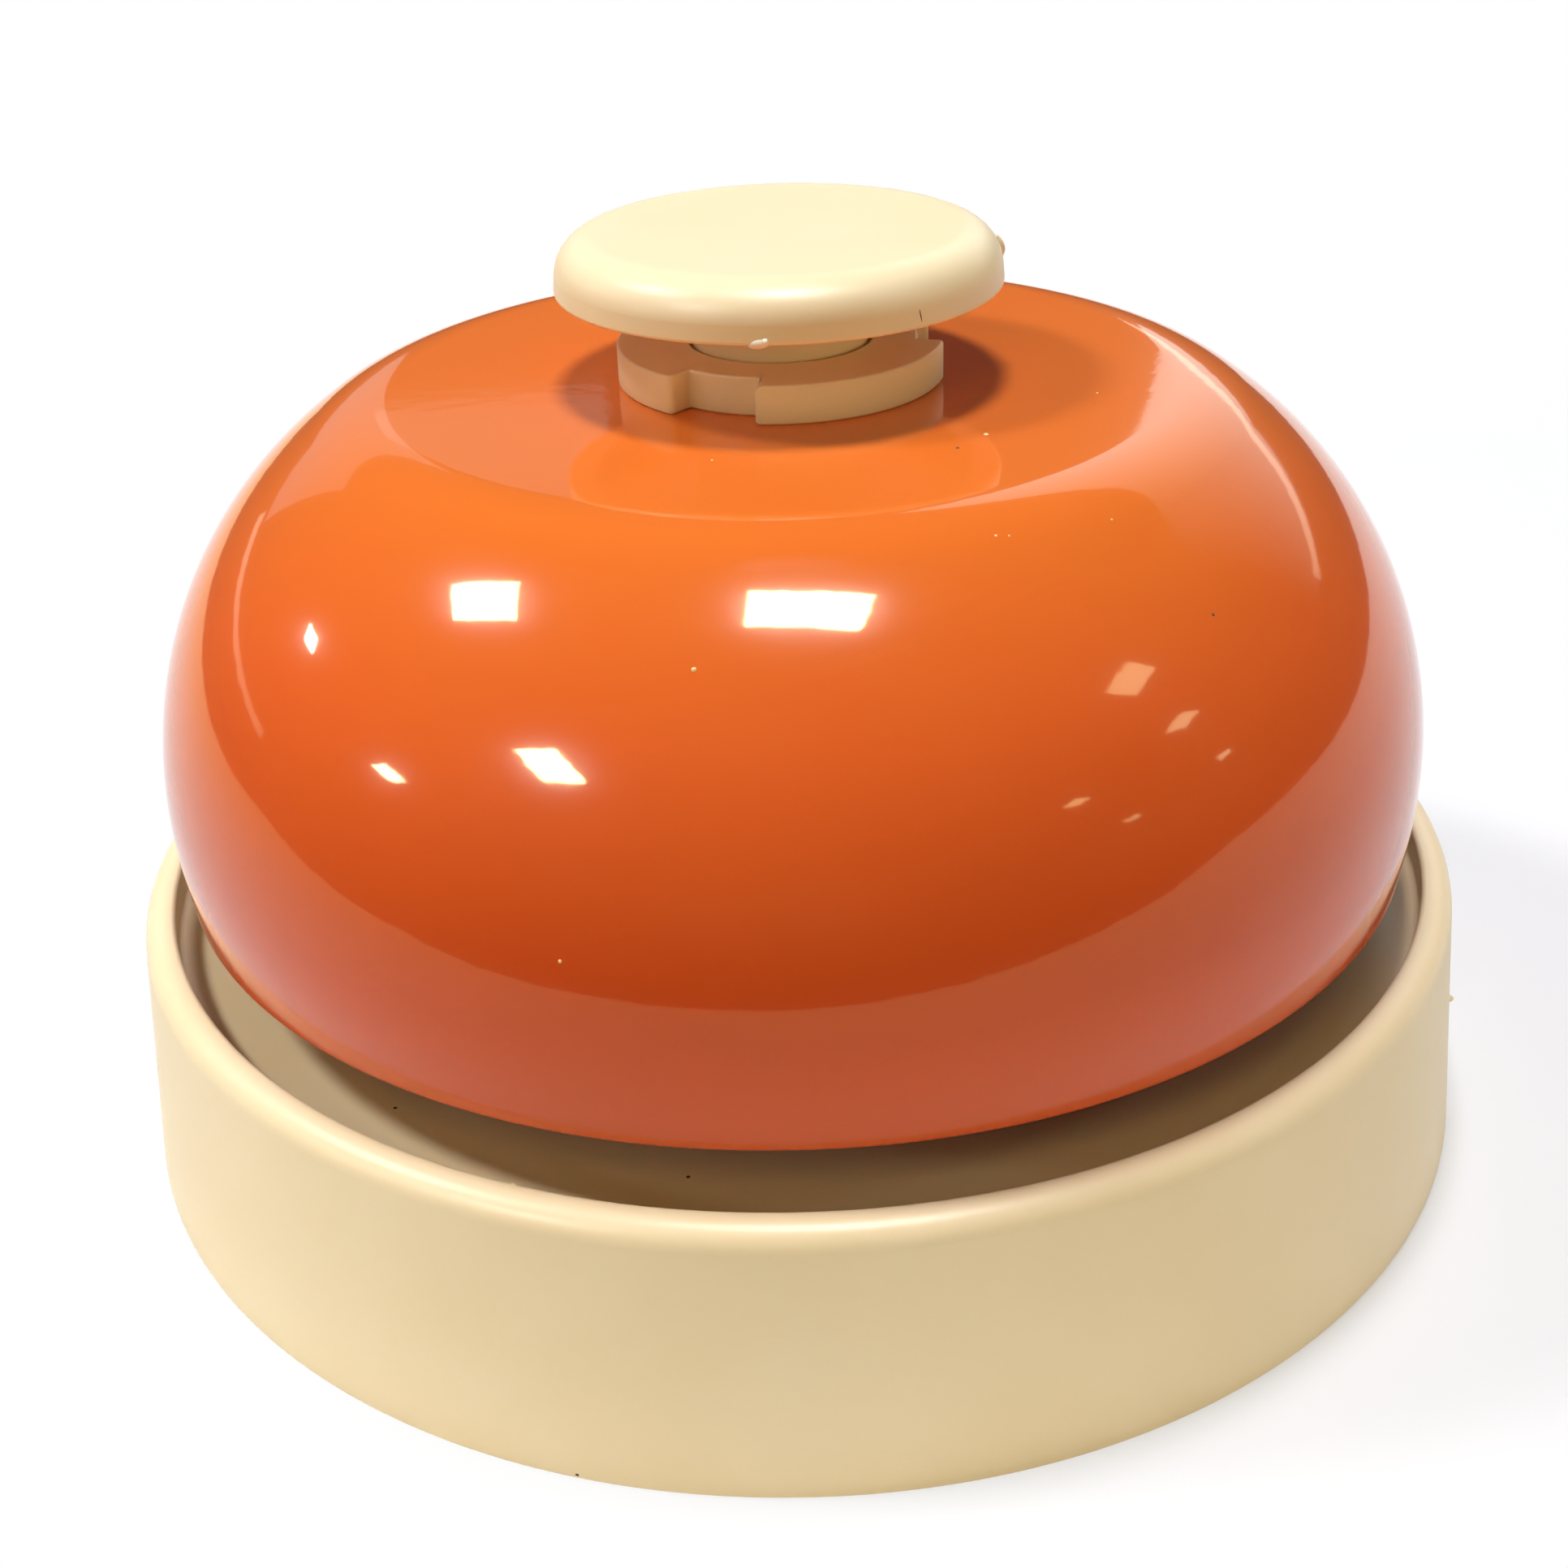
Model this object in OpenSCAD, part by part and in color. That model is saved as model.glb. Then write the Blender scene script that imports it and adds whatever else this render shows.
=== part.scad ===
// Press bell for training a pet: a pressed steel dome over a round moulded base.
// A mushroom button on top slides down through a hollow pillar and tips a lever,
// which throws a steel hammer against the inside of the dome.
// Origin: centre of the base's underside. +Z up, front along -Y, striker along +Y. Millimetres.

/* [Base] */
// Outer diameter of the base at its rim
rim_d = 72.8; // [66:0.2:80]
// How far the wall spreads from the rim to the foot, on each side
foot_flare = 1.1; // [0.4:0.1:2]
// Height of the base
base_h = 14.3; // [12:0.1:20]
// Thickness of the rim
rim_wall = 1.7; // [1.4:0.1:2.2]
// Radius of the rim's outer edge, in section
rim_round = 1.3; // [0.8:0.1:1.4]
// Thickness of the wall below the deck
skirt_wall = 1.8; // [1.4:0.1:2.4]
// Depth of the deck below the top of the rim
deck_drop = 2; // [1.5:0.1:3.5]
// Thickness of the deck
deck_t = 1.8; // [1.4:0.1:2.4]
// Number of stiffening ribs under the deck
rib_count = 6; // [3:3:12]
// Thickness of a rib
rib_t = 1.2; // [0.8:0.1:1.6]
// Height of a rib
rib_h = 2.4; // [1.2:0.1:4]

/* [Dome] */
// Thickness of the steel sheet with its enamel
dome_t = 0.8; // [0.6:0.05:1.2]
// Gap between the dome's edge and the base's rim, seen from above
dome_side_gap = 1.2; // [0.8:0.1:2.5]
// Height of the dome's edge above the base's rim
dome_lift = 2.2; // [1.2:0.1:4]
// Height of the widest part of the dome above its edge
dome_belly_h = 4.9; // [3:0.1:8]
// Lean of the straight skirt below the belly, in degrees
skirt_lean = 7; // [0:0.5:7]
// Radius of the shoulder, in section
shoulder_r = 21.7; // [19:0.1:24]
// Depth of the flat crown below the top of the shoulder circle
crown_drop = 2.3; // [1.5:0.1:5]
// Radius that rounds the shoulder into the crown, in section
crown_blend_r = 7.6; // [6:0.1:14]

/* [Button] */
// Diameter of the button's head at its lower edge
cap_d = 22.8; // [20:0.2:28]
// Thickness of the button's head
cap_t = 2.8; // [2.6:0.1:4]
// Radius of the head's upper edge
cap_round = 2; // [1:0.1:2.4]
// How much the head's side leans in towards the top
cap_lean = 0.25; // [0:0.05:0.5]
// Depth of the recess under the head
cap_recess = 1.2; // [0.6:0.1:1.4]
// Thickness of the head's edge round that recess
cap_edge = 1.6; // [1.2:0.1:2.2]
// Diameter of the button's hollow stem
stem_d = 9; // [8:0.1:10]
// Thickness of the stem's wall
stem_wall = 1.05; // [0.9:0.05:1.3]
// Thickness of the wall of the socket that holds the push rod
rod_socket_wall = 0.6; // [0.5:0.05:0.8]
// Depth of the socket below the head
rod_socket_h = 3; // [2:0.1:4]
// How far the button travels
travel = 2.5; // [2:0.1:3]
// Gap left between the head and the collar at full travel
press_end_gap = 0.3; // [0.2:0.05:0.6]
// Length of the stem that stays in its guide above the spring seat at full travel
stem_reserve = 1.2; // [0.6:0.1:2]

/* [Collar and pillar] */
// Height of the collar that clamps the dome
collar_h = 2; // [1.8:0.1:3]
// Thickness of the collar's lower ledge, which the lugs hold
ledge_t = 0.65; // [0.5:0.05:0.8]
// Thickness of the collar's top
collar_top_t = 0.55; // [0.4:0.05:0.8]
// Number of finger notches in the collar
notch_count = 3; // [2:1:6]
// Angle that each notch covers
notch_angle = 31; // [20:1:40]
// Direction of the first notch's middle, from +X
notch_turn = -115; // [-180:1:180]
// Depth of a notch
notch_depth = 1.4; // [0.8:0.1:2]
// Wall left behind a notch
notch_wall = 0.7; // [0.6:0.05:1.2]
// Thickness of the pillar's neck, which passes through the dome
neck_wall = 0.95; // [0.8:0.05:1.3]
// How far the two bayonet lugs stand out from the neck
lug_out = 0.6; // [0.4:0.05:0.9]
// Angle that each lug covers
lug_angle = 50; // [35:1:60]
// Angle by which the collar's entries are wider than the lugs
entry_spare = 6; // [3:1:12]
// Thickness of the pillar's wall below the neck
pillar_wall = 1.65; // [1.3:0.05:2.2]
// Thickness of the pillar's flange under the dome
flange_t = 1.6; // [1.2:0.1:2.4]
// Thickness of the soft washer under the dome
washer_t = 0.8; // [0.5:0.1:1.2]
// Thickness of the pillar's foot
foot_t = 2.5; // [2:0.1:3.5]
// How far the pillar's end stops short of the deck's underside
spigot_short = 0.4; // [0.2:0.1:0.8]
// Width of the foot's edge beyond the cheeks
foot_lip = 0.4; // [0.2:0.1:1]
// Height of the sill between the cheeks, above the foot
sill_h = 1.2; // [0.6:0.1:3]

/* [Push rod and spring] */
// Diameter of the push rod
rod_d = 3; // [2.6:0.1:3.2]
// Cover left above the push rod in the button's head
rod_cover = 1.4; // [1:0.1:1.8]
// Length of the return spring, fitted
spring_l = 12.3; // [11:0.1:14]
// Diameter of the spring's wire
wire_d = 0.5; // [0.4:0.05:0.6]
// Turns in the spring
spring_turns = 8; // [6:0.5:9]
// Thickness of the web that carries the spring
web_t = 1.5; // [1.2:0.1:2]
// Outer diameter of the retaining clip
clip_d = 6.4; // [5.6:0.1:7]
// Thickness of the retaining clip
clip_t = 0.55; // [0.4:0.05:0.7]
// How much narrower the clip's mouth is than the neck it holds, on each side
clip_hold = 0.12; // [0.05:0.01:0.2]
// Depth of the clip's groove in the rod
groove_depth = 0.35; // [0.25:0.05:0.45]
// Length of the rod below its groove
rod_nose = 1; // [0.8:0.1:1.5]

/* [Striker] */
// Length of the lever's inner arm, from pivot to pad
lever_in = 8.1; // [7.4:0.1:9]
// Distance of the pad's middle from the bell's axis
pad_offset = 1.2; // [0.8:0.1:1.4]
// Diameter of the pad under the push rod
pad_d = 2.2; // [1.8:0.1:2.6]
// Width of the lever
lever_w = 3.4; // [2.8:0.1:4]
// Diameter of the lever's hub
hub_d = 4.8; // [4.2:0.1:5.4]
// Depth of the lever's outer arm beside the hub
arm_root = 3.6; // [3:0.1:4.2]
// Depth of the lever's outer arm at the hammer
arm_tip = 2.8; // [2.4:0.1:3.4]
// Diameter of the hammer
hammer_d = 5.6; // [5:0.1:6.4]
// Diameter of the hammer's shank
shank_d = 1.8; // [1.4:0.1:2]
// Length of the shank inside the lever
shank_l = 4; // [3:0.1:6]
// Depth of the flat where the hammer meets the lever
hammer_flat = 0.6; // [0.4:0.05:0.9]
// Height of the struck spot, as an angle up the shoulder
strike_angle = 17; // [8:1:26]
// Gap left between hammer and dome at full travel
strike_gap = 0.4; // [0.3:0.05:0.8]
// Diameter of the pivot pin
pin_d = 2; // [1.6:0.1:2.4]
// Diameter of the pin's head
pin_head_d = 3.2; // [2.8:0.1:3.8]
// Thickness of the pin's head
pin_head_t = 0.6; // [0.4:0.1:1]
// Thickness of each cheek that carries the pin
cheek_t = 1.6; // [1.2:0.1:2]
// Width of cheek left round the pin
cheek_lap = 2.6; // [2:0.1:3.2]

/* [Screws] */
// Diameter of a screw
screw_d = 2.6; // [2.2:0.1:3]
// Length of a screw below its head
screw_l = 8; // [6:0.5:9]
// Diameter of a screw's head
screw_head_d = 4.8; // [4.2:0.1:5.4]
// Height of a screw's head
screw_head_h = 1.6; // [1.2:0.1:2]
// Length of the cross recess in a screw's head
cross_l = 2.9; // [2.2:0.1:3.4]
// Width of the cross recess
cross_w = 0.7; // [0.5:0.05:0.9]
// Depth of the cross recess
cross_depth = 0.8; // [0.5:0.1:1]
// Wall of the boss round a screw
boss_wall = 1.3; // [1:0.1:1.8]
// How far each boss runs into the pillar's wall
boss_bite = 0.4; // [0.2:0.1:0.6]

/* [Fits] */
// Gap all round a sliding or turning shaft
running_gap = 0.06; // [0.03:0.01:0.09]
// Gap beside a part that moves past another
side_gap = 0.3; // [0.25:0.05:0.5]
// Gap where a part passes through a plain hole
hole_gap = 0.2; // [0.1:0.05:0.4]
// Gap at a loose seat
seat_gap = 0.05; // [0.02:0.01:0.1]

/* [Hidden] */
$fn = 96;

cream = "#ecdcb0";
orange = "#e2622b";
steel = "#b9bcc0";
dark_steel = "#7d8086";
nylon = "#d8d4c8";
felt = "#4a4642";

// Overlap that makes one cut pass clean through another face
cut = 0.5;

// Base, from the foot up
rim_r = rim_d / 2;
foot_r = rim_r + foot_flare;
rim_mid_z = base_h - rim_round;
rim_in_r = rim_r - rim_wall;
deck_z = base_h - deck_drop;
deck_under_z = deck_z - deck_t;
// Radius of the wall's outside at a height, along its straight lean
function wall_r(z) = foot_r - foot_flare * z / rim_mid_z;

// Dome: leaning skirt, shoulder circle, crown blend circle and flat crown
edge_r = rim_in_r - dome_side_gap;
edge_z = base_h + dome_lift;
shoulder_z = edge_z + dome_belly_h;
skirt_h = dome_belly_h - shoulder_r * sin(skirt_lean);
shoulder_x = edge_r + skirt_h * tan(skirt_lean) - shoulder_r * cos(skirt_lean);
crown_z = shoulder_z + shoulder_r - crown_drop;
blend_z = crown_z - crown_blend_r;
blend_x = shoulder_x + sqrt((shoulder_r - crown_blend_r) ^ 2 - (blend_z - shoulder_z) ^ 2);
// Angle at which the blend circle leaves the shoulder circle
blend_angle = atan2(blend_z - shoulder_z, blend_x - shoulder_x);

// Pillar neck and collar, outwards from the stem
stem_r = stem_d / 2;
bore_r = stem_r + running_gap;
neck_r = bore_r + neck_wall;
lug_r = neck_r + lug_out;
groove_r = lug_r + hole_gap;
collar_r = groove_r + notch_wall + notch_depth;
collar_top_z = crown_z + collar_h;
ledge_top_z = crown_z + ledge_t;
neck_top_z = collar_top_z - collar_top_t - seat_gap;
lug_under_z = ledge_top_z + seat_gap;
washer_z = crown_z - dome_t - washer_t;
pillar_r = bore_r + pillar_wall;
pillar_z = deck_under_z + spigot_short;
foot_top_z = deck_z + foot_t;

// Ribs under the deck, from the ring round the pillar's end into the wall
ring_z = deck_under_z - rib_h;
ring_r = pillar_r + 2 * rib_t;
rib_in_r = pillar_r + rib_t;
rib_out_r = foot_r - foot_flare - skirt_wall / 2;

// Button, up from the collar
cap_r = cap_d / 2;
cap_z = collar_top_z + travel + press_end_gap;
cap_top_z = cap_z + cap_t;
ceiling_z = cap_z + cap_recess;
stem_in_r = stem_r - stem_wall;
rod_r = rod_d / 2;
socket_r = rod_r + rod_socket_wall;
grip_r = rod_r - groove_depth;
mouth_w = 2 * (grip_r - clip_hold);

// Spring seat, clip and rod, down from the button
web_z = ceiling_z - spring_l;
web_under_z = web_z - web_t;
stem_end_z = web_z + travel + stem_reserve;
clip_z = web_under_z - seat_gap - clip_t;
rod_end_z = clip_z - seat_gap - rod_nose;
rod_top_z = cap_top_z - rod_cover;

// Lever: the inner arm swings evenly about level as the rod goes down
swing = 2 * asin(travel / (2 * lever_in));
pad_r = pad_d / 2;
pad_z = rod_end_z - side_gap - pad_r;
pivot_y = pad_offset + lever_in * cos(swing / 2);
pivot_z = pad_z - lever_in * sin(swing / 2);
pivot = [pivot_y, pivot_z];
hammer_r = hammer_d / 2;
strike_reach = shoulder_r - dome_t - strike_gap - hammer_r;
strike = [shoulder_x, shoulder_z] + strike_reach * [cos(strike_angle), sin(strike_angle)];
lever_out = norm(strike - pivot);
rest_angle = atan2(strike.y - pivot.y, strike.x - pivot.x) - swing;
arm_end = lever_out - hammer_r + hammer_flat;
slot_w = lever_w + 2 * side_gap;
cheek_out = slot_w / 2 + cheek_t;
cheek_end_y = pivot_y + cheek_lap;
hub_r = hub_d / 2;
pin_r = pin_d / 2;

// Screws, on a circle round the pillar's wall, clear of the cheeks
screw_count = 3;
screw_turn = 30;
screw_r = screw_d / 2;
boss_r = screw_r + boss_wall;
boss_x = pillar_r + boss_r - boss_bite;
boss_top_z = deck_under_z + screw_l + boss_wall;
pillar_foot_r = max(boss_x + boss_r, norm([cheek_out, cheek_end_y])) + foot_lip;

// Spring wire: an open helix with short level ends, between the web and the button
spring_r = (socket_r + stem_in_r) / 2;
spring_rings = 8;
wire_sides = 6;
wire_r = wire_d / 2;
spring_low = web_z + seat_gap + wire_r;
spring_high = ceiling_z - seat_gap - wire_r;
spring_steps = spring_rings * spring_turns;
ring_step = 360 / spring_rings;
side_step = 360 / wire_sides;
// Middle of the wire after k steps
function helix(k) = [spring_r * cos(ring_step * k), spring_r * sin(ring_step * k),
                     spring_low + (spring_high - spring_low) * k / spring_steps];
// Level direction along the wire after k steps
function level_way(k) = [-sin(ring_step * k), cos(ring_step * k), 0];
wire_path = concat([helix(0) - wire_d * level_way(0)],
                   [for (k = [0 : spring_steps]) helix(k)],
                   [helix(spring_steps) + wire_d * level_way(spring_steps)]);
wire_last = len(wire_path) - 1;
// Direction from the spring's axis to a point of the wire
function out_way(p) = [p.x, p.y, 0] / norm([p.x, p.y]);
// Corner s of the wire's cross-section at point p
function wire_corner(p, s) = p + wire_r * (cos(side_step * s) * out_way(p) + [0, 0, sin(side_step * s)]);
wire_points = [for (p = wire_path) for (s = [0 : wire_sides - 1]) wire_corner(p, s)];
// Number of corner s on ring k
function wire_id(k, s) = k * wire_sides + s % wire_sides;
wire_faces = concat(
    [for (k = [0 : wire_last - 1]) for (s = [0 : wire_sides - 1])
        [wire_id(k, s), wire_id(k + 1, s + 1), wire_id(k, s + 1)]],
    [for (k = [0 : wire_last - 1]) for (s = [0 : wire_sides - 1])
        [wire_id(k, s), wire_id(k + 1, s), wire_id(k + 1, s + 1)]],
    [for (s = [1 : wire_sides - 2])
        [wire_id(0, 0), wire_id(0, s), wire_id(0, s + 1)]],
    [for (s = [1 : wire_sides - 2])
        [wire_id(wire_last, 0), wire_id(wire_last, s + 1), wire_id(wire_last, s)]]);
wire_spans = [for (i = [0 : wire_last]) for (j = [i + spring_rings / 2 : wire_last])
    norm(wire_path[i] - wire_path[j])];
spring_self_gap = min(wire_spans) - wire_d;
echo("return spring, least gap to itself", spring_self_gap);

// Points of a sector with its tip at c, from angle a to angle b, reaching past radius r
function sector(c, r, a, b) =
    concat([c], [for (k = [0:3]) let (t = a + (b - a) * k / 3) c + 2 * r * [cos(t), sin(t)]]);

// The part of a circle that lies between two angles
module pie(c, r, a, b) {
    intersection() {
        translate(c) circle(r);
        polygon(sector(c, r, a, b));
    }
}

// Everything under the dome's skin, drawn in by an inset and standing on a floor
module under_dome(inset, floor_z) {
    shoulder = [shoulder_x, shoulder_z];
    blend = [blend_x, blend_z];
    top = [blend_x, crown_z - inset];
    reach = shoulder_r - inset;
    knee = shoulder + reach * [cos(skirt_lean), -sin(skirt_lean)];
    low = [knee.x - (knee.y - floor_z) * tan(skirt_lean), floor_z];
    join = shoulder + reach * [cos(blend_angle), sin(blend_angle)];
    rotate_extrude() {
        pie(shoulder, reach, -skirt_lean, blend_angle);
        pie(blend, crown_blend_r - inset, blend_angle, 90);
        polygon([[0, floor_z], low, knee, join, top, [0, top.y]]);
    }
}

// Ring sector of the given radii, heights and angles
module ring_part(r_in, r_out, z_low, z_high, middle, angle) {
    rotate([0, 0, middle - angle / 2])
        rotate_extrude(angle = angle)
            translate([r_in, z_low]) square([r_out - r_in, z_high - z_low]);
}

// Moulded base: leaning wall, rim rounded on its outside, sunk deck, ribs underneath
module base_shell() {
    color(cream)
    difference() {
        union() {
            rotate_extrude() {
                polygon([[foot_r - skirt_wall, 0], [foot_r, 0], [rim_r, rim_mid_z],
                         [rim_r - rim_round, base_h], [rim_in_r, base_h], [rim_in_r, deck_z],
                         [0, deck_z], [0, deck_under_z],
                         [wall_r(deck_under_z) - skirt_wall, deck_under_z]]);
                pie([rim_r - rim_round, rim_mid_z], rim_round, 0, 90);
            }
            for (k = [0 : rib_count - 1])
                rotate([0, 0, k * 360 / rib_count])
                    translate([rib_in_r, -rib_t / 2, ring_z])
                        cube([rib_out_r - rib_in_r, rib_t, rib_h + deck_t / 2]);
            difference() {
                translate([0, 0, ring_z]) cylinder(r = ring_r, h = rib_h + deck_t / 2);
                at_screws()
                    translate([0, 0, ring_z - cut])
                        cylinder(r = screw_head_d / 2 + hole_gap, h = rib_h + deck_t);
            }
        }
        translate([0, 0, ring_z - cut]) cylinder(r = pillar_r + hole_gap, h = rib_h + deck_t + 2 * cut);
        at_screws()
            translate([0, 0, deck_under_z - cut]) cylinder(r = screw_r + hole_gap, h = deck_t + 2 * cut);
    }
}

// Places its children at each screw
module at_screws() {
    for (k = [0 : screw_count - 1])
        rotate([0, 0, screw_turn + k * 360 / screw_count]) translate([boss_x, 0, 0]) children();
}

// Hollow pillar: foot with screw bosses, cheeks for the pivot, flange and bayonet neck
module centre_pillar() {
    color(cream)
    difference() {
        union() {
            rotate_extrude()
                polygon([[0, pillar_z], [pillar_r, pillar_z], [pillar_r, deck_z],
                         [pillar_foot_r, deck_z], [pillar_foot_r, foot_top_z], [pillar_r, foot_top_z],
                         [pillar_r, washer_z - flange_t - collar_r + pillar_r],
                         [collar_r, washer_z - flange_t], [collar_r, washer_z],
                         [neck_r, washer_z], [neck_r, neck_top_z], [0, neck_top_z]]);
            at_screws()
                translate([0, 0, foot_top_z - cut]) cylinder(r = boss_r, h = boss_top_z - foot_top_z + cut);
            translate([-cheek_out, 0, foot_top_z - cut])
                cube([2 * cheek_out, cheek_end_y, pivot_z + cheek_lap - foot_top_z + cut]);
            for (turn = [0, 180])
                ring_part(neck_r - neck_wall / 2, lug_r, lug_under_z, neck_top_z, turn, lug_angle);
        }
        translate([0, 0, web_z]) cylinder(r = bore_r, h = neck_top_z - web_z + cut);
        translate([0, 0, web_under_z - cut]) cylinder(r = rod_r + running_gap, h = web_t + 2 * cut);
        translate([0, 0, pillar_z - cut]) cylinder(r = bore_r, h = web_under_z - pillar_z + cut);
        translate([-slot_w / 2, 0, foot_top_z + sill_h])
            cube([slot_w, cheek_end_y + cut, web_under_z - foot_top_z - sill_h]);
        translate([-cheek_out - cut, pivot_y, pivot_z]) rotate([0, 90, 0])
            cylinder(r = pin_r, h = 2 * (cheek_out + cut));
        at_screws() translate([0, 0, deck_under_z]) cylinder(r = screw_r, h = screw_l);
    }
}

// Self-tapping screws, driven up through the deck
module pillar_screws() {
    color(dark_steel)
    at_screws()
        difference() {
            union() {
                translate([0, 0, deck_under_z]) cylinder(r = screw_r, h = screw_l);
                translate([0, 0, deck_under_z - screw_head_h]) cylinder(d = screw_head_d, h = screw_head_h);
            }
            for (turn = [0, 90])
                translate([0, 0, deck_under_z - screw_head_h]) rotate([0, 0, turn])
                    cube([cross_l, cross_w, 2 * cross_depth], center = true);
        }
}

// Soft washer that keeps the pillar's flange off the steel
module crown_washer() {
    color(felt)
    translate([0, 0, washer_z])
        difference() {
            cylinder(r = collar_r - hole_gap, h = washer_t);
            translate([0, 0, -cut]) cylinder(r = neck_r + hole_gap, h = washer_t + 2 * cut);
        }
}

// Pressed steel dome with a hole for the pillar's neck
module bell_dome() {
    color(orange)
    difference() {
        under_dome(0, edge_z);
        under_dome(dome_t, edge_z - cut);
        translate([0, 0, crown_z - dome_t - cut]) cylinder(r = neck_r + hole_gap, h = dome_t + 2 * cut);
    }
}

// Bayonet collar with finger notches
module retaining_collar() {
    color(cream)
    difference() {
        rotate_extrude()
            polygon([[neck_r + hole_gap, crown_z], [collar_r, crown_z], [collar_r, collar_top_z],
                     [stem_r + hole_gap, collar_top_z], [stem_r + hole_gap, collar_top_z - collar_top_t],
                     [groove_r, collar_top_z - collar_top_t], [groove_r, ledge_top_z],
                     [neck_r + hole_gap, ledge_top_z]]);
        for (k = [0 : notch_count - 1])
            ring_part(collar_r - notch_depth, collar_r + cut, crown_z - cut, collar_top_z + cut,
                      notch_turn + k * 360 / notch_count, notch_angle);
        for (turn = [90, 270])
            ring_part(neck_r, groove_r, crown_z - cut, ledge_top_z + cut, turn, lug_angle + entry_spare);
    }
}

// Mushroom button: recessed head, hollow stem and a socket for the push rod
module button_cap() {
    top_r = cap_r - cap_lean;
    color(cream)
    difference() {
        rotate_extrude() {
            polygon([[0, ceiling_z], [cap_r - cap_edge, ceiling_z], [cap_r - cap_edge, cap_z], [cap_r, cap_z],
                     [top_r, cap_top_z - cap_round], [top_r - cap_round, cap_top_z], [0, cap_top_z]]);
            pie([top_r - cap_round, cap_top_z - cap_round], cap_round, 0, 90);
            translate([stem_in_r, stem_end_z]) square([stem_wall, ceiling_z - stem_end_z + cut]);
            translate([0, ceiling_z - rod_socket_h]) square([socket_r, rod_socket_h + cut]);
        }
        translate([0, 0, ceiling_z - rod_socket_h - cut])
            cylinder(r = rod_r, h = rod_top_z - ceiling_z + rod_socket_h + cut);
    }
}

// Steel push rod with a groove for its clip
module push_rod() {
    color(steel)
    difference() {
        translate([0, 0, rod_end_z]) cylinder(r = rod_r, h = rod_top_z - rod_end_z);
        translate([0, 0, clip_z - seat_gap])
            difference() {
                cylinder(r = rod_r + cut, h = clip_t + seat_gap);
                translate([0, 0, -cut]) cylinder(r = grip_r, h = clip_t + 2 * cut);
            }
    }
}

// Spring clip that stops the rod from rising out of the web
module rod_clip() {
    color(dark_steel)
    translate([0, 0, clip_z])
        difference() {
            cylinder(d = clip_d, h = clip_t);
            translate([0, 0, -cut]) cylinder(r = grip_r, h = clip_t + 2 * cut);
            translate([-mouth_w / 2, -clip_d, -cut]) cube([mouth_w, clip_d, clip_t + 2 * cut]);
        }
}

// Return spring: one round wire, wound as worked out above
module return_spring() {
    color(steel) polyhedron(wire_points, wire_faces);
}

// Turns a drawing in the plane of the lever's swing into a plate of the given width
module swing_plate(w) {
    translate([-w / 2, 0, 0]) rotate([90, 0, 90]) linear_extrude(w) children();
}

// A tapering bar in the plane of the swing, from the pivot along an angle
module taper(angle, length, root, tip) {
    translate(pivot) rotate(angle)
        polygon([[0, -root / 2], [length, -tip / 2], [length, tip / 2], [0, root / 2]]);
}

// Places its children at the pivot, with +Z along the lever's outer arm at rest
module along_arm() {
    translate([0, pivot_y, pivot_z]) rotate([rest_angle - 90, 0, 0]) children();
}

// Moulded lever: hub, inner arm with a round pad, outer arm with a socket
module striker_lever() {
    color(nylon)
    difference() {
        swing_plate(lever_w) {
            translate(pivot) circle(hub_r);
            translate([pad_offset, pad_z]) circle(pad_r);
            taper(180 - swing / 2, lever_in, arm_root, pad_d);
            taper(rest_angle, arm_end, arm_root, arm_tip);
        }
        translate([-lever_w / 2 - cut, pivot_y, pivot_z]) rotate([0, 90, 0])
            cylinder(r = pin_r + running_gap, h = lever_w + 2 * cut);
        along_arm() translate([0, 0, arm_end - shank_l]) cylinder(d = shank_d, h = shank_l + cut);
    }
}

// Steel ball hammer with a flat shoulder and a shank
module striker_hammer() {
    color(steel)
    along_arm() {
        intersection() {
            translate([0, 0, lever_out]) sphere(hammer_r);
            translate([0, 0, arm_end]) cylinder(r = hammer_d, h = 2 * hammer_d);
        }
        translate([0, 0, arm_end - shank_l]) cylinder(d = shank_d, h = shank_l + hammer_r);
    }
}

// Headed pin that the lever turns on
module pivot_pin() {
    color(steel)
    translate([-cheek_out, pivot_y, pivot_z]) rotate([0, 90, 0]) {
        cylinder(r = pin_r, h = 2 * cheek_out);
        translate([0, 0, -pin_head_t]) cylinder(d = pin_head_d, h = pin_head_t);
    }
}

base_shell();
centre_pillar();
pillar_screws();
crown_washer();
bell_dome();
retaining_collar();
button_cap();
push_rod();
rod_clip();
return_spring();
striker_lever();
striker_hammer();
pivot_pin();
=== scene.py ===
"""Looks for a pet training bell: glossy orange dome, cream moulded base, collar and press button.

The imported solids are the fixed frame. Each piece that shows is made again here as a numpy surface
at the solids' own sizes, with the edges, marks and finishes that the real one has.
Lengths are in millimetres, angles in degrees, and a mesh is turned into metres as it is made.
"""

import bmesh
import bpy
import numpy as np
from mathutils import Matrix, Vector


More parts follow.
